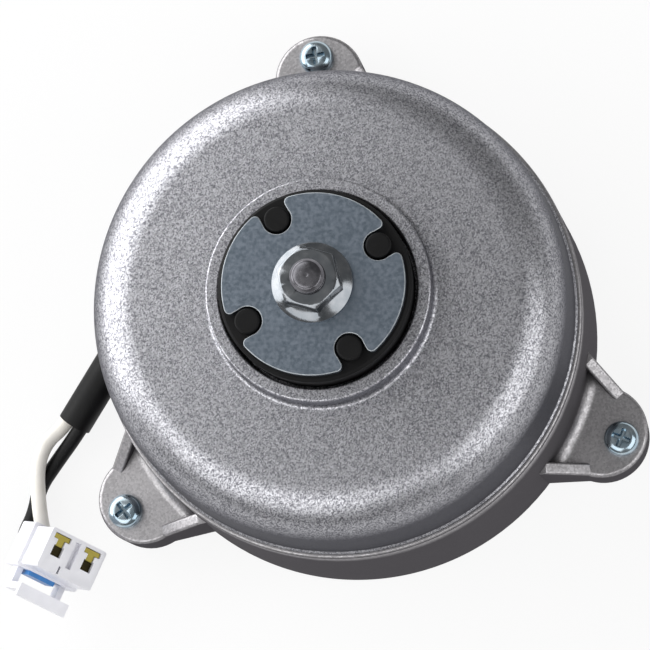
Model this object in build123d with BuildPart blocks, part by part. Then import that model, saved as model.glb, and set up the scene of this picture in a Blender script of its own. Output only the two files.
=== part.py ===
from build123d import *
import math

# Shaded-pole fan motor with a die-cast body, millimetres, standing on its rear face.
# The origin is the centre of the rear face and +Z runs along the shaft.

# Clearances that tie one piece to the next
seat_gap = 0.02          # pressed or clamped round fits
running_gap = 0.03       # shaft in the bearing sleeve
slip_gap = 0.1           # screws and wires through plain holes
pocket_gap = 0.3         # screw heads sunk in the rear face
core_gap = 0.3           # stator core to the shell's bosses, bobbins to the core
pad_gap = 0.5            # drive pad to the collar's bore
wick_gap = 1.6           # oil wick to the retaining ring
hub_gap = 1.8            # hub disc to the floor of the well
end_play = 0.3           # shaft end float below the sleeve
air_gap = 0.4            # rotor to pole faces
turning_gap = 0.6        # other rotating faces to the castings

# Cast body
joint_height = 31.8      # parting plane of the two castings
rear_taper = 1.35        # radius lost from the foot to the rim
rear_wall = 3.35
rear_floor = 3.0
rear_edge_fillet = 1.5
spigot_length = 2.0      # register of the front shell inside the rear housing
spigot_wall = 1.3
shell_ledge = 0.95       # rim of the rear housing outside the front shell
shell_taper = 1.35
shell_rise = 21.45       # parting plane up to the flat face
shell_face_drop = 0.35   # slope of the face out to the shoulder
shell_shoulder_fillet = 9.0
shell_wall = 2.5
collar_stand = 4.85      # collar rim above the flat face
collar_wall = 2.4
collar_root_fillet = 0.9
collar_rim_fillet = 0.4
well_depth = 6.1         # collar rim down to the floor of the well

# Ears
ear_count = 3
ear_angle = 97.3
ear_reach = 8.8          # screw holes outside the body
ear_top = 11.8
ear_thickness = 9.6
ear_lobe_radius = 8.6
ear_lobe_bulge = 0.5     # lobe outside the line of the ear's straight sides
ear_lobe_shift = 4.0     # screw holes outside the lobe's centre
ear_root_half_width = 12.5
ear_root_fillet = 2.2
ear_edge_fillet = 0.8
rib_width = 2.3
rib_length = 9.5
rib_height = 5.2
rib_crest = 1.6
rib_fillet = 0.5

# Fasteners
ear_screw_radius = 1.75
ear_screw_neck = 1.4     # plain shank under the head
ear_screw_tail = 2.0     # threaded end below the ear
ear_head_radius = 3.25
ear_head_height = 2.3
head_rounding = 0.7      # share of the head's height
recess_length = 0.55     # share of the head's diameter
recess_width = 0.14      # share of the head's diameter
recess_depth = 0.55      # share of the head's height
recess_taper = 12.0
shell_screw_count = 3
shell_screw_angle = 37.3
shell_screw_radius = 1.5
shell_screw_inset = 1.0  # screw circle inside the cavity's wall
shell_screw_reach = 9.5  # thread engagement above the parting plane
shell_boss_radius = 3.2
shell_head_radius = 2.8
shell_head_height = 2.2
shell_head_sink = 0.6    # heads below the rear face
stator_screw_radius = 1.25
stator_screw_reach = 7.0
stator_head_radius = 2.3
stator_head_height = 1.6
stator_boss_radius = 2.9

# Bearing
journal_radius = 4.0
sleeve_wall = 2.5
post_wall = 2.4
post_top = 34.3
oil_well_step = 0.95     # oil well wider than the sleeve
bearing_plug_thickness = 3.0
bearing_plug_chamfer = 0.5
thrust_washer_thickness = 1.2
wick_height = 5.6
retaining_ring_width = 1.6
retaining_ring_thickness = 0.8
groove_depth = 0.5

# Rotor and stator
core_bottom = 12.0
core_height = 16.0
lamination_width = 6.95  # rotor core outside its drum
bar_count = 16
bar_radius = 0.95
bar_inset = 1.4
end_ring_height = 2.5
end_ring_width = 3.8
end_ring_inset = 0.2
drum_wall = 1.5
drum_clearance = 1.1     # drum bore to the bearing post
web_thickness = 3.0
web_clearance = 1.2      # web to the top of the post
rotor_boss_radius = 6.5
pole_count = 4
pole_width = 12.0
pole_tip_thickness = 3.5
pole_tip_gap = 7.0
yoke_width = 4.7
bobbin_wall = 0.8
bobbin_flange = 0.7
bobbin_flange_stand = 0.5
bobbin_length = 6.8
coil_height = 3.4
shade_angle = 24.5
shade_inset = 1.5        # middle of the rings from the pole's bore
shade_band = 1.1
shade_depth = 1.6
shade_window = 6.5

# Drive stack on the front of the shaft
hub_disc_inset = 0.5
hub_disc_thickness = 2.0
pad_radius = 16.9
pad_thickness = 6.0
pad_chamfer = 0.5
nub_count = 4
nub_angle = 29.0
nub_inset = 3.0          # nub centres inside the clamp plate's edge
nub_radius = 2.2
nub_stand = 0.5          # nub tops above the clamp plate
nub_fillet = 0.35
plate_inset = 0.9        # clamp plate's edge inside the pad's
plate_thickness = 1.5
notch_gap = 0.35         # notch round its nub
notch_neck = 0.05        # narrowing of the notch's mouth on each side
notch_lip_radius = 1.0
nut_across_flats = 9.9
nut_height = 6.0
nut_flange_radius = 7.05
nut_flange_edge = 0.9
nut_flange_rise = 1.3
nut_crown_drop = 0.6
nut_crown_inset = 0.3
nut_angle = -76.0
thread_radius = 3.0
shaft_end_stand = 2.0
shaft_end_chamfer = 0.6

# Leads: routes are lists of points chosen by hand
sleeve_route = [(-38.1, 3.2, 8.2), (-42.7, 3.5, 8.2), (-55.35, -14.85, 3.65)]
sleeve_bend_radius = 6.0
lead_sleeve_radius = 3.3
lead_sleeve_bore = 2.98
lead_sleeve_mouth = 2.0
grommet_radius = 4.5
grommet_reach = 6.6
grommet_lip = 1.8
grommet_lip_radius = 5.1
lead_radius = 1.45
lead_run_out = 1.6       # straight run outside the sleeve's mouth
lead_run_in = 2.4        # straight run outside the plug
bend_share = 0.45        # part of its shorter run that each bend takes
white_route = [
    (-60.9, -18.3, 3.8),
    (-62.4, -23.1, 4.6),
    (-62.0, -29.0, 5.0),
    (-61.4, -34.0, 4.6),
    (-60.6, -38.4, 2.7),
]
black_route = [
    (-59.35, -22.3, 1.9),
    (-62.6, -26.9, 1.6),
    (-63.5, -32.0, 1.6),
    (-65.0, -36.2, 3.6),
]
splice_radius = 1.6
splice_length = 6.0

# Plug, in its own plane: width along the pitch, height towards the terminals' T bars
plug_rear = (-60.0, -40.7, 8.0)
plug_axis = (0.5415, -0.1278, 0.8313)
plug_width_axis = (0.7466, -0.3814, -0.5449)
plug_pitch = 6.5
plug_length = 16.0
plug_body_length = 7.0
plug_tower_wall = 0.95
plug_tower_height = 7.9
plug_step = 0.7          # body wider than the towers on each side
plug_lip = 0.45          # body higher than the towers, above and below
plug_edge_fillet = 0.5
plug_groove_width = 1.1
plug_groove_height = 5.2
plug_groove_depth = 6.0
pin_hole_side = 2.1
terminal_bar_width = 3.2
terminal_bar_height = 0.9
terminal_stem_width = 1.4
terminal_stem_height = 1.3
terminal_inset = 0.5     # terminal ends below the mating face
terminal_margin = 0.75   # T bar below the top of the tower
plug_wire_depth = 3.0
crimp_length = 3.0
latch_width = 10.4
latch_thickness = 1.3
latch_gap = 3.0
latch_start = 1.5
latch_length = 9.0
latch_arm = 1.2
latch_arm_length = 3.0
latch_grip = 1.2
retainer_gap = 0.5       # retainer to the latch's arms
retainer_stand = 1.6     # retainer below the body
retainer_root = 1.0      # retainer inside the body
retainer_length = 4.5
retainer_start = 2.4

# Radii worked out from the shaft outwards
sleeve_radius = journal_radius + running_gap + sleeve_wall
post_radius = sleeve_radius + seat_gap + post_wall
oil_well_radius = sleeve_radius + oil_well_step
retaining_ring_radius = journal_radius + retaining_ring_width
drum_inner_radius = post_radius + drum_clearance
drum_radius = drum_inner_radius + drum_wall
rotor_radius = drum_radius + lamination_width
bar_circle_radius = rotor_radius - bar_inset
end_ring_outer_radius = rotor_radius - end_ring_inset
end_ring_inner_radius = end_ring_outer_radius - end_ring_width
pole_bore_radius = rotor_radius + air_gap
shade_radius = pole_bore_radius + shade_inset
pole_tip_radius = pole_bore_radius + pole_tip_thickness
bobbin_width = pole_width + 2 * slip_gap
bobbin_height = core_height + 2 * slip_gap
winding_width = bobbin_width + 2 * bobbin_wall
winding_height = bobbin_height + 2 * bobbin_wall
flange_grow = 2 * (coil_height + bobbin_flange_stand)
bobbin_start = pole_tip_radius + core_gap
bobbin_end = bobbin_start + bobbin_length
yoke_inner_radius = math.hypot(bobbin_end + core_gap, (winding_width + flange_grow) / 2)
yoke_outer_radius = yoke_inner_radius + yoke_width
stator_screw_circle = (yoke_inner_radius + yoke_outer_radius) / 2
shell_screw_circle = yoke_outer_radius + core_gap + shell_boss_radius
cavity_radius = shell_screw_circle + shell_screw_inset
rear_rim_radius = cavity_radius + rear_wall
body_radius = rear_rim_radius + rear_taper
shell_foot_radius = rear_rim_radius - shell_ledge
shell_top_radius = shell_foot_radius - shell_taper
counterbore_radius = shell_foot_radius - shell_wall + spigot_wall + seat_gap
spigot_radius = counterbore_radius - seat_gap
ear_circle_radius = body_radius + ear_reach
ear_lobe_centre = ear_circle_radius - ear_lobe_shift
ear_root_radius = (cavity_radius + rear_rim_radius) / 2
collar_bore_radius = pad_radius + pad_gap
collar_radius = collar_bore_radius + collar_wall
hub_disc_radius = pad_radius - hub_disc_inset
plate_radius = pad_radius - plate_inset
nub_circle_radius = plate_radius - nub_inset
notch_pocket_radius = nub_radius + notch_gap
notch_mouth_width = 2 * (notch_pocket_radius - notch_neck)

# Levels worked out from the rear face upwards
shell_head_seat = shell_head_height + shell_head_sink
ear_bottom = ear_top - ear_thickness
washer_top = bearing_plug_thickness + thrust_washer_thickness
shaft_bottom = washer_top + running_gap
ring_bottom = washer_top + wick_height + wick_gap
sleeve_bottom = ring_bottom + retaining_ring_thickness + end_play
drum_bottom = core_bottom - end_ring_height
core_top = core_bottom + core_height
core_middle = core_bottom + core_height / 2
web_bottom = post_top + web_clearance
spigot_bottom = joint_height - spigot_length
counterbore_depth = spigot_length + slip_gap
shell_face_height = joint_height + shell_rise
collar_height = shell_face_height + collar_stand
well_floor = collar_height - well_depth
well_underside = well_floor - shell_wall
hub_seat_height = well_floor + hub_gap
pad_bottom = hub_seat_height + hub_disc_thickness
plate_bottom = pad_bottom + pad_thickness
plate_top = plate_bottom + plate_thickness
nut_top = plate_top + nut_height
shaft_top = nut_top + shaft_end_stand


def write_piece(piece, name):
    piece.part.label = name
    export_step(piece.part, f"parts/{name}.step")


def corner_near(section, across, up):
    return section.vertices().sort_by_distance((across, up, 0))[0]


def route_radii(points):
    radii = []
    for before, corner, after in zip(points, points[1:], points[2:]):
        run_in = Vector(*corner) - Vector(*before)
        run_out = Vector(*after) - Vector(*corner)
        half_turn = math.radians(run_in.get_angle(run_out)) / 2
        radii.append(bend_share * min(run_in.length, run_out.length) / math.tan(half_turn))
    return radii


def route_plane(start, towards):
    return Plane(origin=start, z_dir=Vector(*towards) - Vector(*start))


def pole_plane(pole, radius):
    turn = math.radians(pole * 360 / pole_count)
    return Plane(
        origin=(radius * math.cos(turn), radius * math.sin(turn), core_middle),
        x_dir=(-math.sin(turn), math.cos(turn), 0),
        z_dir=(math.cos(turn), math.sin(turn), 0),
    )


def shade_plane(pole):
    turn = math.radians(pole * 360 / pole_count + shade_angle)
    return Plane(
        origin=(shade_radius * math.cos(turn), shade_radius * math.sin(turn), core_middle),
        x_dir=(-math.sin(turn), math.cos(turn), 0),
        z_dir=(math.cos(turn), math.sin(turn), 0),
    )


# Lead sleeve: vinyl tube that leaves the wall, turns and lies down beside the motor
sleeve_corner = Vector(*sleeve_route[1])
sleeve_heading = (Vector(*sleeve_route[2]) - sleeve_corner).normalized()
sleeve_start = route_plane(sleeve_route[0], sleeve_route[1])

with BuildPart() as lead_sleeve:
    with BuildLine() as sleeve_path:
        FilletPolyline(*sleeve_route, radius=sleeve_bend_radius)
    with BuildSketch(sleeve_start):
        Circle(lead_sleeve_radius)
    sweep(path=sleeve_path.wires()[0])
    with BuildSketch(route_plane(sleeve_route[2], sleeve_route[1])):
        Circle(lead_sleeve_bore)
    extrude(amount=lead_sleeve_mouth, mode=Mode.SUBTRACT)
write_piece(lead_sleeve, "lead_sleeve")

# Lead grommet: moulded rubber elbow around the sleeve, with a lip inside the wall
with BuildPart() as lead_grommet:
    with BuildLine() as grommet_path:
        FilletPolyline(
            sleeve_route[0],
            sleeve_corner,
            sleeve_corner + sleeve_heading * grommet_reach,
            radius=sleeve_bend_radius,
        )
    with BuildSketch(sleeve_start):
        Circle(grommet_radius)
    sweep(path=grommet_path.wires()[0])
    with BuildSketch(sleeve_start):
        Circle(grommet_lip_radius)
    extrude(amount=grommet_lip)
    with BuildSketch(sleeve_start):
        Circle(lead_sleeve_radius + seat_gap)
    sweep(path=sleeve_path.wires()[0], mode=Mode.SUBTRACT)
write_piece(lead_grommet, "lead_grommet")

# Lead splices: two crimped joints at the inner end of the sleeve
with BuildPart() as lead_splices:
    with BuildSketch(sleeve_start):
        with Locations((splice_radius + seat_gap, 0), (-splice_radius - seat_gap, 0)):
            Circle(splice_radius)
    extrude(amount=-splice_length)
    fillet(lead_splices.edges().filter_by(GeomType.CIRCLE), splice_radius / 4)
write_piece(lead_splices, "lead_splices")

# Rear housing: die-cast cup with ears, bearing post, bosses and the lead port
ear_side_radius = ear_lobe_radius - ear_lobe_bulge
ear_lobe_reach = ear_lobe_centre - ear_root_radius
ear_side_angle = math.atan2(ear_root_half_width, ear_lobe_reach) - math.asin(
    ear_side_radius / math.hypot(ear_root_half_width, ear_lobe_reach)
)


def rib_location(ear, side):
    # Just inside the ear's straight side, x outward along it and y up
    turn = math.radians(ear_angle + ear * 360 / ear_count)
    across = side * (ear_root_half_width - (rib_width / 2) / math.cos(ear_side_angle))
    heading = turn - side * ear_side_angle
    return Plane(
        origin=(
            ear_root_radius * math.cos(turn) - across * math.sin(turn),
            ear_root_radius * math.sin(turn) + across * math.cos(turn),
            ear_top,
        ),
        x_dir=(math.cos(heading), math.sin(heading), 0),
        z_dir=(math.sin(heading), -math.cos(heading), 0),
    ).location


with BuildPart() as ear_body:
    with BuildSketch(Plane.XY.offset(ear_bottom)):
        with BuildLine():
            Line((ear_root_radius, -ear_root_half_width), (ear_root_radius, ear_root_half_width))
            CenterArc((ear_lobe_centre, 0), ear_side_radius, 0, 360)
        make_hull()
        with Locations((ear_lobe_centre, 0)):
            Circle(ear_lobe_radius)
    extrude(amount=ear_thickness)
    fillet(ear_body.faces().filter_by(Axis.Z).edges(), ear_edge_fillet)

with BuildPart() as ear_rib:
    with BuildSketch():
        Polygon(
            (0, -ear_thickness / 2),
            (rib_length, -ear_thickness / 2),
            (rib_length, 0),
            (rib_crest, rib_height),
            (0, rib_height),
            align=None,
        )
    extrude(amount=rib_width / 2, both=True)
    slope = ear_rib.faces().sort_by_distance((rib_length, rib_height, 0))[0]
    fillet(slope.edges(), rib_fillet)

wall_slope = (body_radius - rear_rim_radius) / joint_height
ear_wall_radius = body_radius - wall_slope * ear_top
ear_arc_end = ear_wall_radius - 2 * wall_slope * ear_root_fillet
arc_inset = ear_root_fillet * (1 - math.sqrt(0.5))
with BuildPart() as ear_root:
    with BuildSketch(Plane.XZ):
        with BuildLine():
            Polyline(
                (ear_arc_end, ear_top + ear_root_fillet),
                (ear_root_radius, ear_top + ear_root_fillet),
                (ear_root_radius, ear_top - ear_root_fillet),
                (ear_wall_radius + ear_root_fillet, ear_top - ear_root_fillet),
                (ear_wall_radius + ear_root_fillet, ear_top),
            )
            ThreePointArc(
                (ear_wall_radius + ear_root_fillet, ear_top),
                (ear_wall_radius + arc_inset, ear_top + arc_inset),
                (ear_arc_end, ear_top + ear_root_fillet),
            )
        make_face()
    revolve(axis=Axis.Z)
    with BuildSketch(Plane.XY.offset(ear_bottom)):
        with BuildLine():
            Line((ear_root_radius, -ear_root_half_width), (ear_root_radius, ear_root_half_width))
            CenterArc((ear_lobe_centre, 0), ear_lobe_radius - ear_edge_fillet, 0, 360)
        make_hull()
    extrude(amount=2 * ear_thickness, mode=Mode.INTERSECT)

with BuildPart() as rear_housing:
    with BuildSketch(Plane.XZ):
        with BuildLine():
            Polyline(
                (0, 0),
                (body_radius, 0),
                (rear_rim_radius, joint_height),
                (counterbore_radius, joint_height),
                (counterbore_radius, joint_height - counterbore_depth),
                (cavity_radius, joint_height - counterbore_depth),
                (cavity_radius, rear_floor),
                (0, rear_floor),
                close=True,
            )
        make_face()
    revolve(axis=Axis.Z)
    fillet(rear_housing.edges().filter_by(GeomType.CIRCLE).group_by(Axis.Z)[0], rear_edge_fillet)
    with BuildLine() as port_path:
        FilletPolyline(
            sleeve_route[0],
            sleeve_corner,
            sleeve_corner + sleeve_heading * (grommet_reach + grommet_radius),
            radius=sleeve_bend_radius,
        )
    with BuildSketch(sleeve_start):
        Circle(grommet_radius + slip_gap)
    sweep(path=port_path.wires()[0], mode=Mode.SUBTRACT)
    for ear in range(ear_count):
        add(ear_body.part.rotate(Axis.Z, ear_angle + ear * 360 / ear_count))
        add(ear_root.part.rotate(Axis.Z, ear_angle + ear * 360 / ear_count))
        for side in (1, -1):
            add(ear_rib.part.moved(rib_location(ear, side)))
    with BuildSketch(Plane.XY.offset(rear_floor)):
        with PolarLocations(shell_screw_circle, shell_screw_count, start_angle=shell_screw_angle):
            Circle(shell_boss_radius)
    extrude(amount=spigot_bottom - slip_gap - rear_floor)
    with BuildSketch(Plane.XY.offset(rear_floor)):
        with PolarLocations(stator_screw_circle, pole_count, start_angle=180 / pole_count):
            Circle(stator_boss_radius)
    extrude(amount=core_bottom - rear_floor)
    with BuildSketch(Plane.XY.offset(rear_floor)):
        Circle(post_radius)
    extrude(amount=post_top - rear_floor)
    with BuildSketch():
        Circle(oil_well_radius)
    extrude(amount=sleeve_bottom, mode=Mode.SUBTRACT)
    with BuildSketch():
        Circle(sleeve_radius + seat_gap)
    extrude(amount=post_top, mode=Mode.SUBTRACT)
    with BuildSketch():
        with PolarLocations(ear_circle_radius, ear_count, start_angle=ear_angle):
            Circle(ear_screw_radius + slip_gap)
        with PolarLocations(shell_screw_circle, shell_screw_count, start_angle=shell_screw_angle):
            Circle(shell_screw_radius + slip_gap)
    extrude(amount=joint_height, mode=Mode.SUBTRACT)
    with BuildSketch():
        with PolarLocations(shell_screw_circle, shell_screw_count, start_angle=shell_screw_angle):
            Circle(shell_head_radius + pocket_gap)
    extrude(amount=shell_head_seat, mode=Mode.SUBTRACT)
    with BuildSketch(Plane.XY.offset(core_bottom)):
        with PolarLocations(stator_screw_circle, pole_count, start_angle=180 / pole_count):
            Circle(stator_screw_radius + seat_gap)
    extrude(amount=-stator_screw_reach, mode=Mode.SUBTRACT)
write_piece(rear_housing, "rear_housing")

# Front shell: die-cast dome with a collar around the drive pad and bosses inside
with BuildPart() as front_shell:
    with BuildSketch(Plane.XZ) as shell_section:
        with BuildLine():
            Polyline(
                (rotor_boss_radius + turning_gap, well_floor),
                (collar_bore_radius, well_floor),
                (collar_bore_radius, collar_height),
                (collar_radius, collar_height),
                (collar_radius, shell_face_height),
                (shell_top_radius, shell_face_height - shell_face_drop),
                (shell_foot_radius, joint_height),
                (spigot_radius, joint_height),
                (spigot_radius, spigot_bottom),
                (spigot_radius - spigot_wall, spigot_bottom),
                (shell_foot_radius - shell_wall, joint_height),
                (shell_top_radius - shell_wall, well_underside),
                (rotor_boss_radius + turning_gap, well_underside),
                close=True,
            )
        make_face()
        fillet(corner_near(shell_section, shell_top_radius, shell_face_height), shell_shoulder_fillet)
        fillet(
            corner_near(shell_section, shell_top_radius - shell_wall, well_underside),
            shell_shoulder_fillet - shell_wall,
        )
        fillet(corner_near(shell_section, collar_radius, shell_face_height), collar_root_fillet)
        fillet(corner_near(shell_section, collar_radius, collar_height), collar_rim_fillet)
        fillet(corner_near(shell_section, collar_bore_radius, collar_height), collar_rim_fillet)
    revolve(axis=Axis.Z)
    with BuildSketch(Plane.XY.offset(spigot_bottom)):
        with PolarLocations(shell_screw_circle, shell_screw_count, start_angle=shell_screw_angle):
            Circle(shell_boss_radius)
        Circle(spigot_radius - spigot_wall / 2, mode=Mode.INTERSECT)
    extrude(amount=spigot_length + shell_screw_reach + shell_wall)
    with BuildSketch(Plane.XY.offset(spigot_bottom)):
        with PolarLocations(shell_screw_circle, shell_screw_count, start_angle=shell_screw_angle):
            Circle(shell_screw_radius + seat_gap)
    extrude(amount=spigot_length + shell_screw_reach + slip_gap, mode=Mode.SUBTRACT)
write_piece(front_shell, "front_shell")


def pan_screw(thread, length, head, height):
    # A pan head on z = 0 with a cross recess, its thread hanging below
    with BuildPart() as screw:
        with BuildSketch(Plane.XZ) as head_section:
            with BuildLine():
                Polyline((0, 0), (head, 0), (head, height), (0, height), close=True)
            make_face()
            fillet(corner_near(head_section, head, height), head_rounding * height)
        revolve(axis=Axis.Z)
        with BuildSketch(Plane.XY.offset(height)):
            Rectangle(2 * head * recess_length, 2 * head * recess_width)
            Rectangle(2 * head * recess_width, 2 * head * recess_length)
        extrude(amount=-height * recess_depth, taper=recess_taper, mode=Mode.SUBTRACT)
        with BuildSketch():
            Circle(thread)
        extrude(amount=-length)
        chamfer(screw.faces().sort_by(Axis.Z)[0].edges(), thread / 4)
    return screw.part


# Ear screws: one pan head screw through each ear, its end free for the bracket
with BuildPart() as ear_screws:
    with Locations((0, 0, ear_top)):
        with PolarLocations(ear_circle_radius, ear_count, start_angle=ear_angle):
            add(
                pan_screw(
                    ear_screw_radius,
                    ear_thickness + ear_screw_tail,
                    ear_head_radius,
                    ear_head_height,
                )
            )
    with BuildSketch(Plane.XY.offset(ear_top)):
        with PolarLocations(ear_circle_radius, ear_count, start_angle=ear_angle):
            Circle(ear_screw_radius)
            Circle(ear_screw_neck, mode=Mode.SUBTRACT)
    extrude(amount=-ear_thickness, mode=Mode.SUBTRACT)
write_piece(ear_screws, "ear_screws")

# Shell screws: from the rear face up into the front shell's bosses
with BuildPart() as shell_screws:
    with PolarLocations(shell_screw_circle, shell_screw_count, start_angle=shell_screw_angle):
        add(
            pan_screw(
                shell_screw_radius,
                joint_height + shell_screw_reach - shell_head_seat,
                shell_head_radius,
                shell_head_height,
            )
            .mirror(Plane.XY)
            .translate((0, 0, shell_head_seat))
        )
write_piece(shell_screws, "shell_screws")

# Stator core: laminated ring with four poles, split by slots for the shading rings
with BuildPart() as stator_core:
    with BuildSketch(Plane.XY.offset(core_bottom)):
        Circle(yoke_outer_radius)
        Circle(yoke_inner_radius, mode=Mode.SUBTRACT)
        with PolarLocations((stator_screw_circle + pole_bore_radius) / 2, pole_count):
            Rectangle(stator_screw_circle - pole_bore_radius, pole_width)
        Circle(pole_tip_radius)
        with PolarLocations(pole_tip_radius, pole_count, start_angle=180 / pole_count):
            Rectangle(4 * pole_tip_thickness, pole_tip_gap, mode=Mode.SUBTRACT)
        Circle(pole_bore_radius, mode=Mode.SUBTRACT)
        with PolarLocations(stator_screw_circle, pole_count, start_angle=180 / pole_count):
            Circle(stator_screw_radius + slip_gap, mode=Mode.SUBTRACT)
    extrude(amount=core_height)
    for pole in range(pole_count):
        with BuildSketch(shade_plane(pole).offset(-pole_tip_thickness)):
            with GridLocations(shade_window + shade_band, 0, 2, 1):
                Rectangle(shade_band + 2 * seat_gap, 2 * core_height)
        extrude(amount=pole_tip_thickness + shade_depth / 2 + seat_gap, mode=Mode.SUBTRACT)
write_piece(stator_core, "stator_core")

# Shading rings: a copper band through each pole's slot and round its horn
with BuildPart() as shading_rings:
    for pole in range(pole_count):
        with BuildSketch(shade_plane(pole)):
            Rectangle(shade_window + 2 * shade_band, core_height + 2 * (shade_band + seat_gap))
            Rectangle(shade_window, core_height + 2 * seat_gap, mode=Mode.SUBTRACT)
        extrude(amount=shade_depth / 2, both=True)
write_piece(shading_rings, "shading_rings")

# Coils: a nylon bobbin and a copper winding on each pole
for pole in range(pole_count):
    with BuildPart() as coil_bobbin:
        with BuildSketch(
            pole_plane(pole, bobbin_start),
            pole_plane(pole, bobbin_start + bobbin_length - bobbin_flange),
        ):
            Rectangle(winding_width + flange_grow, winding_height + flange_grow)
        extrude(amount=bobbin_flange)
        with BuildSketch(pole_plane(pole, bobbin_start)):
            Rectangle(winding_width, winding_height)
        extrude(amount=bobbin_length)
        with BuildSketch(pole_plane(pole, bobbin_start)):
            Rectangle(bobbin_width, bobbin_height)
        extrude(amount=bobbin_length, mode=Mode.SUBTRACT)
    write_piece(coil_bobbin, f"coil_bobbin_{pole + 1}")
    with BuildPart() as stator_coil:
        with BuildSketch(pole_plane(pole, bobbin_start + bobbin_flange + seat_gap)):
            RectangleRounded(winding_width + 2 * coil_height, winding_height + 2 * coil_height, coil_height)
            Rectangle(winding_width + seat_gap, winding_height + seat_gap, mode=Mode.SUBTRACT)
        extrude(amount=bobbin_length - 2 * (bobbin_flange + seat_gap))
    write_piece(stator_coil, f"stator_coil_{pole + 1}")

# Stator screws: through the lamination ring into the rear housing's bosses
with BuildPart() as stator_screws:
    with Locations((0, 0, core_top)):
        with PolarLocations(stator_screw_circle, pole_count, start_angle=180 / pole_count):
            add(
                pan_screw(
                    stator_screw_radius,
                    core_height + stator_screw_reach - slip_gap,
                    stator_head_radius,
                    stator_head_height,
                )
            )
write_piece(stator_screws, "stator_screws")

# Bearing: sintered sleeve over an oil wick, a thrust washer and a plug in the rear face
with BuildPart() as bearing_sleeve:
    with BuildSketch(Plane.XY.offset(sleeve_bottom)):
        Circle(sleeve_radius)
        Circle(journal_radius + running_gap, mode=Mode.SUBTRACT)
    extrude(amount=post_top - sleeve_bottom)
write_piece(bearing_sleeve, "bearing_sleeve")

with BuildPart() as bearing_plug:
    with BuildSketch():
        Circle(oil_well_radius - seat_gap)
    extrude(amount=bearing_plug_thickness)
    chamfer(bearing_plug.faces().sort_by(Axis.Z)[0].edges(), bearing_plug_chamfer)
write_piece(bearing_plug, "bearing_plug")

with BuildPart() as thrust_washer:
    with BuildSketch(Plane.XY.offset(bearing_plug_thickness)):
        Circle(oil_well_radius - slip_gap)
    extrude(amount=thrust_washer_thickness)
write_piece(thrust_washer, "thrust_washer")

with BuildPart() as oil_wick:
    with BuildSketch(Plane.XY.offset(washer_top)):
        Circle(oil_well_radius - slip_gap)
        Circle(journal_radius + end_play, mode=Mode.SUBTRACT)
    extrude(amount=wick_height)
write_piece(oil_wick, "oil_wick")

# Shaft: ground journal, ring groove, shoulder for the hub disc and a threaded end
with BuildPart() as shaft:
    with BuildSketch(Plane.XZ):
        with BuildLine():
            Polyline(
                (0, shaft_bottom),
                (journal_radius - groove_depth, shaft_bottom),
                (journal_radius, shaft_bottom + groove_depth),
                (journal_radius, ring_bottom),
                (journal_radius - groove_depth, ring_bottom),
                (journal_radius - groove_depth, ring_bottom + retaining_ring_thickness + seat_gap),
                (journal_radius, ring_bottom + retaining_ring_thickness + seat_gap),
                (journal_radius, hub_seat_height),
                (thread_radius, hub_seat_height),
                (thread_radius, shaft_top - shaft_end_chamfer),
                (thread_radius - shaft_end_chamfer, shaft_top),
                (0, shaft_top),
                close=True,
            )
        make_face()
    revolve(axis=Axis.Z)
write_piece(shaft, "shaft")

with BuildPart() as retaining_ring:
    with BuildSketch(Plane.XY.offset(ring_bottom)):
        Circle(retaining_ring_radius)
        Circle(journal_radius - groove_depth + seat_gap, mode=Mode.SUBTRACT)
        with Locations((retaining_ring_radius, 0)):
            Rectangle(2 * retaining_ring_radius, journal_radius, mode=Mode.SUBTRACT)
    extrude(amount=retaining_ring_thickness)
write_piece(retaining_ring, "retaining_ring")

# Rotor: laminations, cast cage and the drum that carries them over the bearing post
with BuildPart() as rotor_core:
    with BuildSketch(Plane.XY.offset(core_bottom)):
        Circle(rotor_radius)
        Circle(drum_radius + seat_gap, mode=Mode.SUBTRACT)
        with PolarLocations(bar_circle_radius, bar_count):
            Circle(bar_radius + seat_gap, mode=Mode.SUBTRACT)
    extrude(amount=core_height)
write_piece(rotor_core, "rotor_core")

with BuildPart() as rotor_cage:
    with BuildSketch(Plane.XY.offset(drum_bottom), Plane.XY.offset(core_top)):
        Circle(end_ring_outer_radius)
        Circle(end_ring_inner_radius, mode=Mode.SUBTRACT)
    extrude(amount=end_ring_height)
    with BuildSketch(Plane.XY.offset(core_bottom)):
        with PolarLocations(bar_circle_radius, bar_count):
            Circle(bar_radius)
    extrude(amount=core_height)
write_piece(rotor_cage, "rotor_cage")

with BuildPart() as rotor_hub:
    with BuildSketch(Plane.XZ):
        with BuildLine():
            Polyline(
                (journal_radius + seat_gap, web_bottom),
                (drum_inner_radius, web_bottom),
                (drum_inner_radius, drum_bottom),
                (drum_radius, drum_bottom),
                (drum_radius, web_bottom + web_thickness),
                (rotor_boss_radius, web_bottom + web_thickness),
                (rotor_boss_radius, hub_seat_height),
                (journal_radius + seat_gap, hub_seat_height),
                close=True,
            )
        make_face()
    revolve(axis=Axis.Z)
write_piece(rotor_hub, "rotor_hub")

# Drive stack: steel disc, rubber pad with nubs, notched clamp plate and flange nut
with BuildPart() as hub_disc:
    with BuildSketch(Plane.XY.offset(hub_seat_height)):
        Circle(hub_disc_radius)
        Circle(thread_radius + seat_gap, mode=Mode.SUBTRACT)
    extrude(amount=hub_disc_thickness)
write_piece(hub_disc, "hub_disc")

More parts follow.
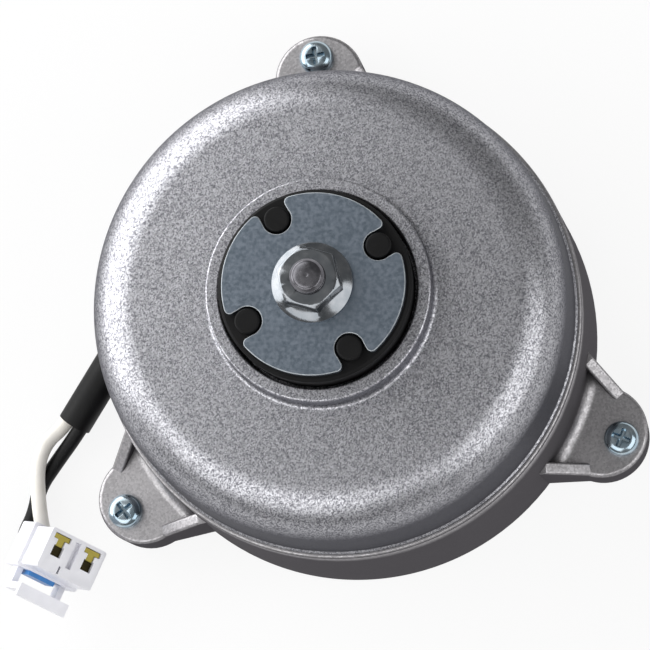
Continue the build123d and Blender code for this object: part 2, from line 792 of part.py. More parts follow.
with BuildPart() as drive_pad:
    with BuildSketch(Plane.XY.offset(pad_bottom)):
        Circle(pad_radius)
        Circle(thread_radius + seat_gap, mode=Mode.SUBTRACT)
    extrude(amount=pad_thickness)
    chamfer(drive_pad.edges().filter_by(GeomType.CIRCLE).sort_by(SortBy.LENGTH)[-2:], pad_chamfer)
    with BuildSketch(Plane.XY.offset(plate_bottom)):
        with PolarLocations(nub_circle_radius, nub_count, start_angle=nub_angle):
            Circle(nub_radius)
    extrude(amount=plate_thickness + nub_stand)
    fillet(drive_pad.faces().group_by(Axis.Z)[-1].edges(), nub_fillet)
write_piece(drive_pad, "drive_pad")

with BuildPart() as clamp_plate:
    with BuildSketch(Plane.XY.offset(plate_bottom)) as plate_outline:
        Circle(plate_radius)
        with PolarLocations(nub_circle_radius, nub_count, start_angle=nub_angle):
            Circle(notch_pocket_radius, mode=Mode.SUBTRACT)
        with PolarLocations(plate_radius, nub_count, start_angle=nub_angle):
            Rectangle(2 * (plate_radius - nub_circle_radius), notch_mouth_width, mode=Mode.SUBTRACT)
        fillet(plate_outline.vertices().group_by(lambda point: point.center().length)[-1], notch_lip_radius)
        Circle(thread_radius + seat_gap, mode=Mode.SUBTRACT)
    extrude(amount=plate_thickness)
write_piece(clamp_plate, "clamp_plate")

nut_across_corners = nut_across_flats / math.cos(math.radians(30))
with BuildPart() as flange_nut:
    with BuildSketch(Plane.XY.offset(plate_top)):
        RegularPolygon(nut_across_corners / 2, 6, rotation=nut_angle)
    extrude(amount=nut_height)
    with BuildSketch(Plane.XZ):
        with BuildLine():
            Polyline(
                (0, plate_top),
                (nut_across_corners / 2, plate_top),
                (nut_across_corners / 2, nut_top - nut_crown_drop),
                (nut_across_flats / 2 - nut_crown_inset, nut_top),
                (0, nut_top),
                close=True,
            )
        make_face()
    revolve(axis=Axis.Z, mode=Mode.INTERSECT)
    with BuildSketch(Plane.XZ):
        with BuildLine():
            Polyline(
                (0, plate_top),
                (nut_flange_radius, plate_top),
                (nut_flange_radius, plate_top + nut_flange_edge),
                (nut_across_flats / 2, plate_top + nut_flange_edge + nut_flange_rise),
                (0, plate_top + nut_flange_edge + nut_flange_rise),
                close=True,
            )
        make_face()
    revolve(axis=Axis.Z)
    with BuildSketch(Plane.XY.offset(plate_top)):
        Circle(thread_radius + seat_gap)
    extrude(amount=nut_height, mode=Mode.SUBTRACT)
write_piece(flange_nut, "flange_nut")

# Leads: one white and one black wire from the sleeve's mouth to the plug
plug_plane = Plane(origin=plug_rear, x_dir=plug_width_axis, z_dir=plug_axis)
mouth_floor = Vector(*sleeve_route[2]) - sleeve_heading * (lead_sleeve_mouth - seat_gap)
mouth_side = sleeve_heading.cross(Vector(0, 0, 1)).normalized()


def lead_points(side, middle):
    # Straight out of the sleeve, along the middle points and straight into the plug
    start = mouth_floor + mouth_side * side * (lead_radius + seat_gap)
    return [
        start,
        start + sleeve_heading * (lead_sleeve_mouth + lead_run_out),
        *[Vector(*point) for point in middle],
        plug_plane.from_local_coords(Vector(side * plug_pitch / 2, 0, -lead_run_in)),
        plug_plane.from_local_coords(Vector(side * plug_pitch / 2, 0, plug_wire_depth - seat_gap)),
    ]


for name, side, middle in (("white_lead", 1, white_route), ("black_lead", -1, black_route)):
    route = lead_points(side, middle)
    radii = route_radii(route)
    with BuildPart() as lead:
        with BuildLine() as lead_path:
            FilletPolyline(*route, radius=radii)
        with BuildSketch(route_plane(route[0], route[1])):
            Circle(lead_radius)
        sweep(path=lead_path.wires()[0])
    write_piece(lead, name)
    length = lead_path.wires()[0].length
    swept = lead.part.volume / (math.pi * lead_radius**2 * length)
    print(name, "length", round(length, 1), "volume ratio", round(swept, 3))
    print("radii", [round(radius, 1) for radius in radii])
    print("points", [tuple(round(value, 2) for value in point) for point in route])

# Plug: nylon body with two towers, a groove between them and a spring latch beneath
plug_tower_width = plug_pitch + terminal_bar_width + 2 * plug_tower_wall
plug_body_width = plug_tower_width + 2 * plug_step
plug_body_height = plug_tower_height + 2 * plug_lip
tower_top = plug_tower_height / 2
bar_middle = tower_top - terminal_margin - terminal_bar_height / 2
stem_middle = bar_middle - terminal_bar_height / 2 - terminal_stem_height / 2
pin_hole_middle = stem_middle - terminal_stem_height / 2 - pin_hole_side / 2 + slip_gap
chamber_depth = plug_wire_depth + crimp_length + slip_gap
latch_middle = -plug_body_height / 2 - latch_gap - latch_thickness / 2
retainer_width = latch_width - 2 * (latch_arm + retainer_gap)
retainer_middle = -plug_body_height / 2 + (retainer_root - retainer_stand) / 2


def terminal_profile(grow):
    with GridLocations(plug_pitch, 0, 2, 1):
        with Locations((0, bar_middle)):
            Rectangle(terminal_bar_width + grow, terminal_bar_height + grow)
        with Locations((0, stem_middle)):
            Rectangle(terminal_stem_width + grow, terminal_stem_height + grow)


with BuildPart() as plug_housing:
    with BuildSketch(plug_plane):
        Rectangle(plug_body_width, plug_body_height)
    extrude(amount=plug_body_length)
    with BuildSketch(plug_plane.offset(plug_body_length)):
        Rectangle(plug_tower_width, plug_tower_height)
    extrude(amount=plug_length - plug_body_length)
    fillet(plug_housing.edges().filter_by(Axis((0, 0, 0), plug_axis)), plug_edge_fillet)
    with BuildSketch(plug_plane.offset(plug_length)):
        with Locations((0, tower_top - terminal_margin - plug_groove_height / 2)):
            Rectangle(plug_groove_width, plug_groove_height)
    extrude(amount=-plug_groove_depth, mode=Mode.SUBTRACT)
    with BuildSketch(plug_plane.offset(plug_length)):
        terminal_profile(2 * slip_gap)
        with GridLocations(plug_pitch, 0, 2, 1):
            with Locations((0, pin_hole_middle)):
                Rectangle(pin_hole_side, pin_hole_side)
    extrude(amount=plug_wire_depth - plug_length, mode=Mode.SUBTRACT)
    with BuildSketch(plug_plane):
        with GridLocations(plug_pitch, 0, 2, 1):
            Circle(lead_radius + slip_gap)
    extrude(amount=chamber_depth, mode=Mode.SUBTRACT)
    with BuildSketch(plug_plane.offset(retainer_start - seat_gap)):
        with Locations((0, -plug_body_height / 2)):
            Rectangle(retainer_width + 2 * seat_gap, 2 * (retainer_root + seat_gap))
    extrude(amount=retainer_length + 2 * seat_gap, mode=Mode.SUBTRACT)
    with BuildSketch(plug_plane.offset(latch_start)):
        with Locations((0, latch_middle)):
            Rectangle(latch_width, latch_thickness)
    extrude(amount=latch_length)
    with BuildSketch(plug_plane.offset(latch_start)):
        with Locations((0, latch_middle + latch_thickness / 2 + latch_gap / 2)):
            with GridLocations(latch_width - latch_arm, 0, 2, 1):
                Rectangle(latch_arm, latch_gap + 2 * plug_edge_fillet)
    extrude(amount=latch_arm_length)
    with BuildSketch(plug_plane.offset(latch_start + latch_length)):
        with Locations((0, latch_middle - latch_grip / 2)):
            Rectangle(latch_width, latch_thickness + latch_grip)
    extrude(amount=-latch_grip)
write_piece(plug_housing, "plug_housing")

# Plug terminals: folded brass with a crimp barrel round each wire's end
with BuildPart() as plug_terminals:
    with BuildSketch(plug_plane.offset(plug_wire_depth)):
        terminal_profile(0)
    extrude(amount=plug_length - terminal_inset - plug_wire_depth)
    with BuildSketch(plug_plane.offset(plug_wire_depth)):
        with GridLocations(plug_pitch, 0, 2, 1):
            Circle(lead_radius - slip_gap)
    extrude(amount=crimp_length)
write_piece(plug_terminals, "plug_terminals")

# Plug retainer: blue wedge under the body that locks the terminals
with BuildPart() as plug_retainer:
    with BuildSketch(plug_plane.offset(retainer_start)):
        with Locations((0, retainer_middle)):
            Rectangle(retainer_width, retainer_root + retainer_stand)
    extrude(amount=retainer_length)
write_piece(plug_retainer, "plug_retainer")
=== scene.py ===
import math

import bpy
from mathutils import Matrix, Vector


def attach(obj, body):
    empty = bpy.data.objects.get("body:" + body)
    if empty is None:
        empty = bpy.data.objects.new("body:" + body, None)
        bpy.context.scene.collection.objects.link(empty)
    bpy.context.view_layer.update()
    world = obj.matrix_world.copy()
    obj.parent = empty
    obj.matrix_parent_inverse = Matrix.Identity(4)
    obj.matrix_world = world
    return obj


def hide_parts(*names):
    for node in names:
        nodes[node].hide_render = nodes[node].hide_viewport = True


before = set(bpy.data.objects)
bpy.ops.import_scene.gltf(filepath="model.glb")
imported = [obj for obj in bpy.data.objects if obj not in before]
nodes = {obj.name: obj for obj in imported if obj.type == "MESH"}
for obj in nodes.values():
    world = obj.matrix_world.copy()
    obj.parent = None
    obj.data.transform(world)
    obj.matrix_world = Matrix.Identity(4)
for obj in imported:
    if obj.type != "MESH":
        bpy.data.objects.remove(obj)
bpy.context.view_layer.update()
mm = 0.001

# Camera: nearly overhead, with the lower right side of the motor in view
camera = {
    "lens": 161.26,
    "sensor": 36.0,
    "place": (0.07208, -0.09386, 0.54861),
    "right": (0.989773, 0.0, -0.142655),
    "up": (0.024794, 0.98478, 0.172030),
    "back": (0.140484, -0.173807, 0.974709),
}
bpy.ops.object.camera_add()
cameraObject = bpy.context.object
cameraObject.name = "studioCamera"
cameraTurn = Matrix((camera["right"], camera["up"], camera["back"])).transposed()
cameraObject.matrix_world = Matrix.Translation(camera["place"]) @ cameraTurn.to_4x4()
cameraObject.data.lens = camera["lens"]
cameraObject.data.sensor_width = camera["sensor"]
cameraObject.data.clip_end = 20
bpy.context.scene.camera = cameraObject
bpy.context.scene.view_settings.view_transform = "Standard"
print("camera set")


def deselectAll():
    bpy.ops.object.select_all(action="DESELECT")


def selectOnly(piece, *others):
    # The piece is the active one, and nothing but it and the others is selected
    deselectAll()
    for each in (*others, piece):
        each.select_set(True)
    bpy.context.view_layer.objects.active = piece


def joined(piece, additions):
    selectOnly(piece, *additions)
    bpy.ops.object.join()


def linear(hexColor):
    parts = [int(hexColor[i : i + 2], 16) / 255 for i in (1, 3, 5)]
    return (*[p / 12.92 if p <= 0.04045 else ((p + 0.055) / 1.055) ** 2.4 for p in parts], 1)


def addNode(material, kind, inputs=None, **settings):
    # One node with its settings, its values and its links
    node = material.node_tree.nodes.new("ShaderNode" + kind)
    for name, value in settings.items():
        setattr(node, name, value)
    for name, value in (inputs or {}).items():
        if isinstance(value, bpy.types.NodeSocket):
            material.node_tree.links.new(value, node.inputs[name])
        else:
            node.inputs[name].default_value = value
    return node


def startMaterial(name, **values):
    material = bpy.data.materials.new(name)
    material.use_nodes = True
    shader = material.node_tree.nodes["Principled BSDF"]
    for socket, value in values.items():
        shader.inputs[socket.replace("_", " ")].default_value = value
    return material, shader


def plug(material, output, shader, socket):
    material.node_tree.links.new(output, shader.inputs[socket])


# Noise values that become 0 and 1: blotches with soft borders, and a finer, fuller grain
softSpread = (0.35, 0.65)
fineSpread = (0.3, 0.7)


def speckle(material, grain, spread, detail=2.0):
    # Blotches of one real size, from 0 to 1, in the piece's own space
    low, high = spread
    place = addNode(material, "TexCoord").outputs["Object"]
    noise = addNode(material, "TexNoise", {"Vector": place, "Scale": 1 / grain, "Detail": detail})
    ramp = addNode(
        material, "MapRange", {"Value": noise.outputs[0], "From Min": low, "From Max": high}
    )
    return ramp.outputs[0]


def blendColours(material, factor, first, second):
    mix = addNode(material, "Mix", {"Factor": factor}, data_type="RGBA")
    for socket, value in ((mix.inputs[6], first), (mix.inputs[7], second)):
        if isinstance(value, bpy.types.NodeSocket):
            material.node_tree.links.new(value, socket)
        else:
            socket.default_value = linear(value)
    return mix.outputs[2]


# What the two cast skins share: millimetres, shares, and the tilt and height past which a face
# keeps its grain tone instead of the walls' painted shade
castHabit = {
    "cloudGrains": 2.2,
    "cloudShare": 0.18,
    "patch": 9,
    "patchShare": 0.25,
    "unshadedTilt": 0.8,
    "unshadedAbove": 53,
}


def castSkin(name, skin):
    # Dented skin in grains of one size, darker in the dents and lighter on their rims (painted
    # shade and painted glints); the draft walls, which face sideways, take painted shade: a darker
    # base colour
    material, shader = startMaterial(name, Metallic=1.0, Specular_Tint=linear(skin["rimLight"]))
    place = addNode(material, "TexCoord").outputs["Object"]
    grain = skin["grain"] * mm
    cells = addNode(material, "TexVoronoi", {"Vector": place, "Scale": 1 / grain})
    sparkle = addNode(
        material, "MapRange", {"Value": cells.outputs["Color"], "From Min": 0.2, "From Max": 0.8}
    ).outputs[0]
    cloud = speckle(material, grain * skin["cloudGrains"], fineSpread)
    fine = addNode(material, "Mix", {0: skin["cloudShare"], 2: sparkle, 3: cloud}).outputs[0]
    patch = speckle(material, skin["patch"] * mm, softSpread, detail=4.0)
    # Painted shade in the dents and painted glints on their rims: the colour follows the bump's
    # height
    glintAndShadeGrain = blendColours(material, fine, skin["pitWithPaintedShade"], skin["rim"])
    clouded = blendColours(material, patch, skin["dull"], skin["clear"])
    tone = addNode(
        material, "Mix", {"Factor": skin["patchShare"], 6: glintAndShadeGrain, 7: clouded}, data_type="RGBA"
    )
    # Painted shade: faces that tilt away from up, below the face's height, take the darker wall
    # colour
    normal = addNode(material, "TexCoord").outputs["Normal"]
    upward = addNode(material, "SeparateXYZ", {"Vector": normal}).outputs["Z"]
    facing = addNode(
        material, "MapRange", {"Value": upward, "From Min": 0.0, "From Max": skin["unshadedTilt"]}
    )
    height = addNode(material, "SeparateXYZ", {"Vector": place}).outputs["Z"]
    unshadedAbove = skin["unshadedAbove"] * mm
    raised = addNode(
        material, "MapRange", {"Value": height, "From Min": unshadedAbove - mm, "From Max": unshadedAbove}
    )
    blastedAndPaintedShade = addNode(
        material, "Math", {0: facing.outputs[0], 1: raised.outputs[0]}, operation="MAXIMUM"
    )
    colour = blendColours(material, blastedAndPaintedShade.outputs[0], skin["wall"], tone.outputs[2])
    plug(material, colour, shader, "Base Color")
    duller, shinier = skin["roughness"]
    rough = addNode(material, "MapRange", {"Value": fine, "To Min": duller, "To Max": shinier})
    reach = addNode(
        material, "Mix", {0: blastedAndPaintedShade.outputs[0], 2: skin["wallRoughness"], 3: rough.outputs[0]}
    )
    plug(material, reach.outputs[0], shader, "Roughness")
    dents = addNode(
        material, "Bump", {"Height": fine, "Strength": 0.5, "Distance": skin["dent"] * mm}
    )
    plug(material, dents.outputs[0], shader, "Normal")
    return material


def blastedAluminium():
    # Die-cast aluminium, shot blasted: a grey face that sparkles, its dents' rims carrying painted
    # glints and its pits painted shade
    skin = {
        # Pit and rim tones: painted shade in the dents, painted glints on their rims
        "pitWithPaintedShade": "#505058",
        "rim": "#eeeef3",
        "dull": "#98989e",
        "clear": "#a8a8ae",
        # The wall tone is painted shade for the draft walls
        "wall": "#5c5c5f",
        "rimLight": "#a8a8ac",
        "wallRoughness": 0.42,
        "roughness": (0.44, 0.32),  # in the pits, on the rims
        "grain": 0.22,  # the shot's dents, drawn about twice as coarse so that they show
        "dent": 0.04,
        **castHabit,
    }
    return castSkin("blastedCastAluminium", skin)


def castAluminium():
    # Die-cast aluminium as it leaves the die: smoother, warmer, duller and with painted shade on
    # its draft walls
    skin = {
        # Pit and rim tones: painted shade in the dents, painted glints on their rims
        "pitWithPaintedShade": "#999799",
        "rim": "#cac8ca",
        "dull": "#9c9a9d",
        "clear": "#bebcbe",
        # The wall tone is painted shade for the draft walls
        "wall": "#605e61",
        "rimLight": "#919092",
        "wallRoughness": 0.68,
        "roughness": (0.46, 0.34),
        "grain": 0.35,  # the die's own texture
        "dent": 0.015,
        **castHabit,
    }
    return castSkin("rawCastAluminium", skin)


def evenFinish(habit, name, dark, light, roughness, grain, bump, **values):
    # Two close tones in soft blotches, a gloss that follows them, and a fine grain
    material, shader = startMaterial(name, **values)
    patch = speckle(material, grain * mm * habit["blotch"], softSpread)
    fine = speckle(material, grain * mm, fineSpread)
    plug(material, blendColours(material, patch, dark, light), shader, "Base Color")
    shinier, duller = [roughness + swing for swing in habit["gloss"]]
    rough = addNode(material, "MapRange", {"Value": patch, "To Min": shinier, "To Max": duller})
    plug(material, rough.outputs[0], shader, "Roughness")
    marks = addNode(
        material, "Bump", {"Height": fine, "Strength": bump, "Distance": habit["depth"] * mm}
    )
    plug(material, marks.outputs[0], shader, "Normal")
    return material


# Blotches in grains, the swing of the gloss, and the depth of the marks in millimetres
metalHabit = {"blotch": 12, "gloss": (-0.05, 0.06), "depth": 0.01}
mouldedHabit = {"blotch": 15, "gloss": (-0.04, 0.06), "depth": 0.02}

# Metals: name, dark tone, light tone, roughness, grain in millimetres, bump
# Platings and turned marks are finer than a pixel, so their grain is drawn as coarse as it shows
metals = {
    # Pressed steel sheet, clear zinc plated: cool, even, softly cloudy
    "plateZinc": ("blueZincPlate", "#83909d", "#8f99a5", 0.33, 0.05, 0.15),
    # Cold-headed screws, zinc plated: bright and bluish
    "brightZinc": ("brightZincPlate", "#9db2c0", "#bccad2", 0.18, 0.25, 0.15),
    # The plate's rounded cut edge: a pale, dull line
    "paleEdge": ("paleZincEdge", "#aab0b5", "#c2c8cc", 0.5, 0.2, 0.15),
    # Forged nut, zinc plated: mirror bright where it faces a lamp, else dark
    "darkZinc": ("darkZincPlate", "#84898e", "#999ca0", 0.16, 0.2, 0.15),
    # Turned and ground shaft: bare and darker than the plating
    "turnedSteel": ("turnedSteel", "#6b6a6f", "#838287", 0.22, 0.15, 0.15),
    # Stamped silicon steel sheets, annealed: dull blue grey
    "laminations": ("siliconSteel", "#5c5c60", "#6c6c70", 0.45, 0.35, 0.15),
    # Enamelled winding wire: reddish brown, glossy
    "copper": ("enamelledCopper", "#a3542c", "#c06c3c", 0.3, 0.3, 0.15),
    # Stamped brass contacts: yellow, a little tarnished
    "brass": ("stampedBrass", "#7f7439", "#978b45", 0.34, 0.2, 0.15),
    # The contacts' inside: brass darkened to nearly black, painted shade for the holes
    "paintedShadeBrass": ("contactShadeBrass", "#2a2618", "#3a3422", 0.5, 0.2, 0.15),
    # Sintered bronze, soaked in oil: brown and dull
    "bronze": ("sinteredBronze", "#7d6236", "#93764a", 0.5, 0.3, 0.15),
}

# Mouldings and felt: name, dark tone, light tone, roughness, grain in millimetres, bump, IOR
mouldings = {
    # Moulded rubber: deep black, dull, hardly any gloss
    "rubber": ("blackRubber", "#030304", "#080809", 0.6, 0.3, 0.3, 1.32),
    # Extruded sleeve and wire insulation: black, a wide dim sheen
    "blackVinyl": ("blackVinyl", "#050506", "#0a0a0c", 0.5, 0.4, 0.2, 1.32),
    # Extruded wire insulation: warm white
    "whiteVinyl": ("creamVinyl", "#f2eee5", "#f9f6f0", 0.42, 0.4, 0.1, 1.5),
    # Moulded nylon plug: cool white
    "whiteNylon": ("whiteNylon", "#ececf2", "#f4f4f9", 0.4, 0.3, 0.1, 1.5),
    # Moulded nylon wedge, dyed: clear blue
    "blueNylon": ("blueNylon", "#2a74b8", "#3686cc", 0.34, 0.3, 0.1, 1.5),
    # Moulded nylon, undyed: ivory
    "bobbinNylon": ("bobbinNylon", "#d8d2c0", "#e2ddce", 0.4, 0.3, 0.1, 1.5),
    # Pressed wool felt, oiled: rough and sandy
    "felt": ("oilFelt", "#b5ac96", "#c6bea8", 0.9, 0.2, 0.8, 1.5),
    # Moulded nylon caps, crimped over the splices: grey and satin
    "crimpCap": ("crimpCap", "#8e8a7c", "#a29e90", 0.45, 0.3, 0.1, 1.5),
}

finishes = {"blastedAndPaintedShade": blastedAluminium(), "cast": castAluminium()}
for key, values in metals.items():
    finishes[key] = evenFinish(metalHabit, *values, Metallic=1.0)
for key, (*values, index) in mouldings.items():
    finishes[key] = evenFinish(mouldedHabit, *values, IOR=index)
print("materials made")

nodeFinishes = {
    "front_shell": "blastedAndPaintedShade",
    "rear_housing": "cast",
    "bearing_plug": "cast",
    "rotor_cage": "cast",
    "ear_screws": "brightZinc",
    "shell_screws": "brightZinc",
    "stator_screws": "brightZinc",
    "rotor_hub": "brightZinc",
    "hub_disc": "brightZinc",
    "clamp_plate": "plateZinc",
    "flange_nut": "darkZinc",
    "shaft": "turnedSteel",
    "retaining_ring": "turnedSteel",
    "stator_core": "laminations",
    "rotor_core": "laminations",
    "shading_rings": "copper",
    "bearing_sleeve": "bronze",
    "thrust_washer": "bobbinNylon",
    "oil_wick": "felt",
    "drive_pad": "rubber",
    "lead_grommet": "rubber",
    "lead_sleeve": "blackVinyl",
    "lead_splices": "crimpCap",
    "white_lead": "whiteVinyl",
    "black_lead": "blackVinyl",
    "plug_housing": "whiteNylon",
    "plug_terminals": "brass",
    "plug_retainer": "blueNylon",
}
for number in range(1, 5):
    nodeFinishes[f"coil_bobbin_{number}"] = "bobbinNylon"
    nodeFinishes[f"stator_coil_{number}"] = "copper"
for name, node in nodes.items():
    node.data.materials.clear()
    node.data.materials.append(finishes[nodeFinishes[name]])
print("nodes finished")

# Leads: the same points as the model's own route, laid as smooth curves
leads = {
    "diameter": 2.9 * mm,
    "white": [
        (-55.46, -12.42, 4.05),
        (-57.46, -15.32, 3.33),
        (-60.9, -18.3, 3.8),
        (-62.4, -23.1, 4.6),
        (-62.0, -29.0, 5.0),
        (-61.4, -34.0, 4.6),
        (-60.6, -38.4, 2.7),
        (-58.87, -41.63, 4.23),
        (-55.96, -42.32, 8.71),
    ],
    "black": [
        (-53.04, -14.09, 4.05),
        (-55.04, -16.99, 3.33),
        (-59.35, -22.3, 1.9),
        (-62.6, -26.9, 1.6),
        (-63.5, -32.0, 1.6),
        (-65.0, -36.2, 3.6),
        (-63.73, -39.15, 7.78),
        (-60.81, -39.84, 12.25),
    ],
    "whiteLength": 37.8 * mm,
    "blackLength": 36.5 * mm,
}


def layLead(name, points, finish):
    curve = bpy.data.curves.new(name, "CURVE")
    curve.dimensions = "3D"
    curve.bevel_depth = leads["diameter"] / 2
    curve.bevel_resolution = 8
    curve.resolution_u = 16
    curve.use_fill_caps = True
    spline = curve.splines.new("NURBS")
    spline.points.add(len(points) - 1)
    for point, place in zip(spline.points, points):
        point.co = (*[value * mm for value in place], 1)
    spline.order_u = 3
    spline.use_endpoint_u = True
    lead = bpy.data.objects.new(name, curve)
    bpy.context.scene.collection.objects.link(lead)
    curve.materials.append(finishes[finish])
    return lead


whiteLead = layLead("whiteLead", leads["white"], "whiteVinyl")
blackLead = layLead("blackLead", leads["black"], "blackVinyl")
for lead, node, slot in (
    (whiteLead, "white_lead", "white_vinyl"),
    (blackLead, "black_lead", "black_vinyl"),
):
    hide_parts(node)
    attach(lead, "stator")
print("leads laid")


creaseAngle = 32  # degrees: edges sharper than this stay crisp


def smoothed(piece, crease=creaseAngle):
    # Smooth inside each face of the form, crisp at its edges
    selectOnly(piece)
    bpy.ops.object.shade_smooth_by_angle(angle=math.radians(crease))
    weighted = piece.modifiers.new("faceNormals", "WEIGHTED_NORMAL")
    weighted.keep_sharp = True
    bpy.ops.object.modifier_apply(modifier="faceNormals")


def roundEdges(piece, width, material):
    # Material -1 keeps each face's own, and a number is the slot that the rounding gets
    edge = piece.modifiers.new("edge", "BEVEL")
    edge.width = width
    edge.segments = 2
    edge.limit_method = "ANGLE"
    edge.angle_limit = math.radians(creaseAngle)
    edge.material = material
    edge.use_clamp_overlap = material < 0
    bpy.ops.object.modifier_apply(modifier="edge")


def finishedCopy(name, node, edge=0.0, flatten=0.0, edgeFinish=None):
    # A merged copy of a model piece, its sharp edges rounded
    copy = nodes[node].copy()
    copy.data = nodes[node].data.copy()
    copy.name = name
    copy.parent = None
    for tag in list(copy.keys()):
        if tag.startswith("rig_"):
            del copy[tag]
    bpy.context.scene.collection.objects.link(copy)
    selectOnly(copy)
    bpy.ops.object.mode_set(mode="EDIT")
    bpy.ops.mesh.select_all(action="SELECT")
    bpy.ops.mesh.remove_doubles(threshold=0.002 * mm)
    if flatten:
        bpy.ops.mesh.dissolve_limited(angle_limit=math.radians(flatten))
    bpy.ops.object.mode_set(mode="OBJECT")
    if copy.data.has_custom_normals:
        bpy.ops.mesh.customdata_custom_splitnormals_clear()
    if edgeFinish:
        copy.data.materials.append(finishes[edgeFinish])
    if edge:
        roundEdges(copy, edge, material=1 if edgeFinish else -1)
    smoothed(copy)
    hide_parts(node)
    return copy


def rounded(corners, arcSteps):
    # Outline points in metres from corners (radius, height, fillet) in millimetres
    places = [Vector((r, z)) * mm for r, z, fillet in corners]
    outline = []
    for i, (r, z, fillet) in enumerate(corners):
        corner, before, after = places[i], places[i - 1], places[(i + 1) % len(places)]
        if not fillet:
            outline.append(corner)
            continue
        back, ahead = (before - corner).normalized(), (after - corner).normalized()
        half = back.angle(ahead) / 2
        centre = corner + (back + ahead).normalized() * fillet * mm / math.sin(half)
        start = corner + back * fillet * mm / math.tan(half) - centre
        end = corner + ahead * fillet * mm / math.tan(half) - centre
        turn = -start.angle_signed(end)
        for step in range(arcSteps + 1):
            outline.append(centre + Matrix.Rotation(turn * step / arcSteps, 2) @ start)
    return outline


spinSteps = 192


def spun(name, corners, arcSteps=10, crease=creaseAngle):
    # One point drawn out along the closed outline, then spun round the shaft's axis
    outline = rounded(corners, arcSteps)
    outline.append(outline[0])
    deselectAll()
    bpy.ops.mesh.primitive_plane_add(size=1)
    piece = bpy.context.object
    piece.name = name
    bpy.ops.object.mode_set(mode="EDIT")
    bpy.ops.mesh.select_all(action="SELECT")
    bpy.ops.mesh.merge(type="CENTER")
    bpy.ops.transform.translate(value=(outline[0].x, 0, outline[0].y))
    for here, there in zip(outline, outline[1:]):
        step = there - here
        bpy.ops.mesh.extrude_region_move(TRANSFORM_OT_translate={"value": (step.x, 0, step.y)})
    bpy.ops.mesh.select_all(action="SELECT")
    bpy.ops.mesh.spin(steps=spinSteps, angle=math.tau, center=(0, 0, 0), axis=(0, 0, 1))
    bpy.ops.mesh.select_all(action="SELECT")
    bpy.ops.mesh.remove_doubles(threshold=0.001 * mm)
    bpy.ops.mesh.normals_make_consistent(inside=False)
    bpy.ops.object.mode_set(mode="OBJECT")
    smoothed(piece, crease)
    return piece


# Front shell: one spun casting with its collar, well and rounded shoulder
frontShell = {
    "well": (7.1, 17.4, 52.0),  # shaft hole, bore, floor
    "collar": (19.8, 58.1, 0.4),  # radius, top, rim fillet
    "face": (53.25, 41.95, 52.9, 9.0),  # height, shoulder corner's radius and height, fillet
    "foot": (43.3, 31.8),
    "wall": 2.5,
    "spigot": (42.1, 40.9, 29.8),
}


def makeFrontShell():
    hole, bore, floor = frontShell["well"]
    collar, rim, rimFillet = frontShell["collar"]
    face, shoulder, drop, fillet = frontShell["face"]
    foot, joint = frontShell["foot"]
    wall = frontShell["wall"]
    spigotOut, spigotIn, spigotEnd = frontShell["spigot"]
    corners = [
        (hole, floor, 0),
        (bore, floor, 0.5),
        (bore, rim, rimFillet),
        (collar, rim, rimFillet),
        (collar, face, 0.9),
        (shoulder, drop, fillet),
        (foot - 0.1, joint + 0.9, 0.25),
        (foot + 0.3, joint + 0.6, 0.25),
        (foot + 0.35, joint, 0),
        (spigotOut, joint, 0),
        (spigotOut, spigotEnd, 0),
        (spigotIn, spigotEnd, 0),
        (foot - wall, joint, 0),
        (shoulder - wall, floor - wall, fillet - wall),
        (hole, floor - wall, 0),
    ]
    return spun("frontShell", corners, arcSteps=16)


shellPiece = makeFrontShell()
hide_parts("front_shell")
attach(shellPiece, "stator")
shellPiece.data.materials.append(finishes["blastedAndPaintedShade"])
print("front shell spun")

# Turned ends that take the place of a copied piece's own: outline corners, from a cut height up
rearRim = {
    "cut": 30.9,
    "corners": [(42.2, 30.7, 0), (42.2, 31.8, 0), (44.25, 31.8, 0.4), (44.3, 30.7, 0)],
}
shaftEnd = {
    "cut": 69.9,
    "corners": [
        (0, 69.7, 0),
        (0, 71.22, 0),
        (0.35, 71.2, 0),
        (0.55, 71.3, 0),
        (0.85, 71.18, 0),
        (1.15, 71.26, 0),
        (1.5, 71.1, 0),
        (1.8, 71.16, 0),
        (2.15, 70.96, 0),
        (2.45, 70.94, 0.3),
        (3.0, 70.3, 0.3),
        (3.0, 69.7, 0),
    ],
}


def regrow(piece, end):
    # Cut the piece off at a height and join a spun end on
    selectOnly(piece)
    bpy.ops.object.mode_set(mode="EDIT")
    bpy.ops.mesh.select_all(action="SELECT")
    bpy.ops.mesh.bisect(
        plane_co=(0, 0, end["cut"] * mm), plane_no=(0, 0, 1), use_fill=True, clear_outer=True
    )
    bpy.ops.object.mode_set(mode="OBJECT")
    cap = spun("cap", end["corners"], crease=50)
    cap.data.materials.append(piece.data.materials[0])
    joined(piece, [cap])


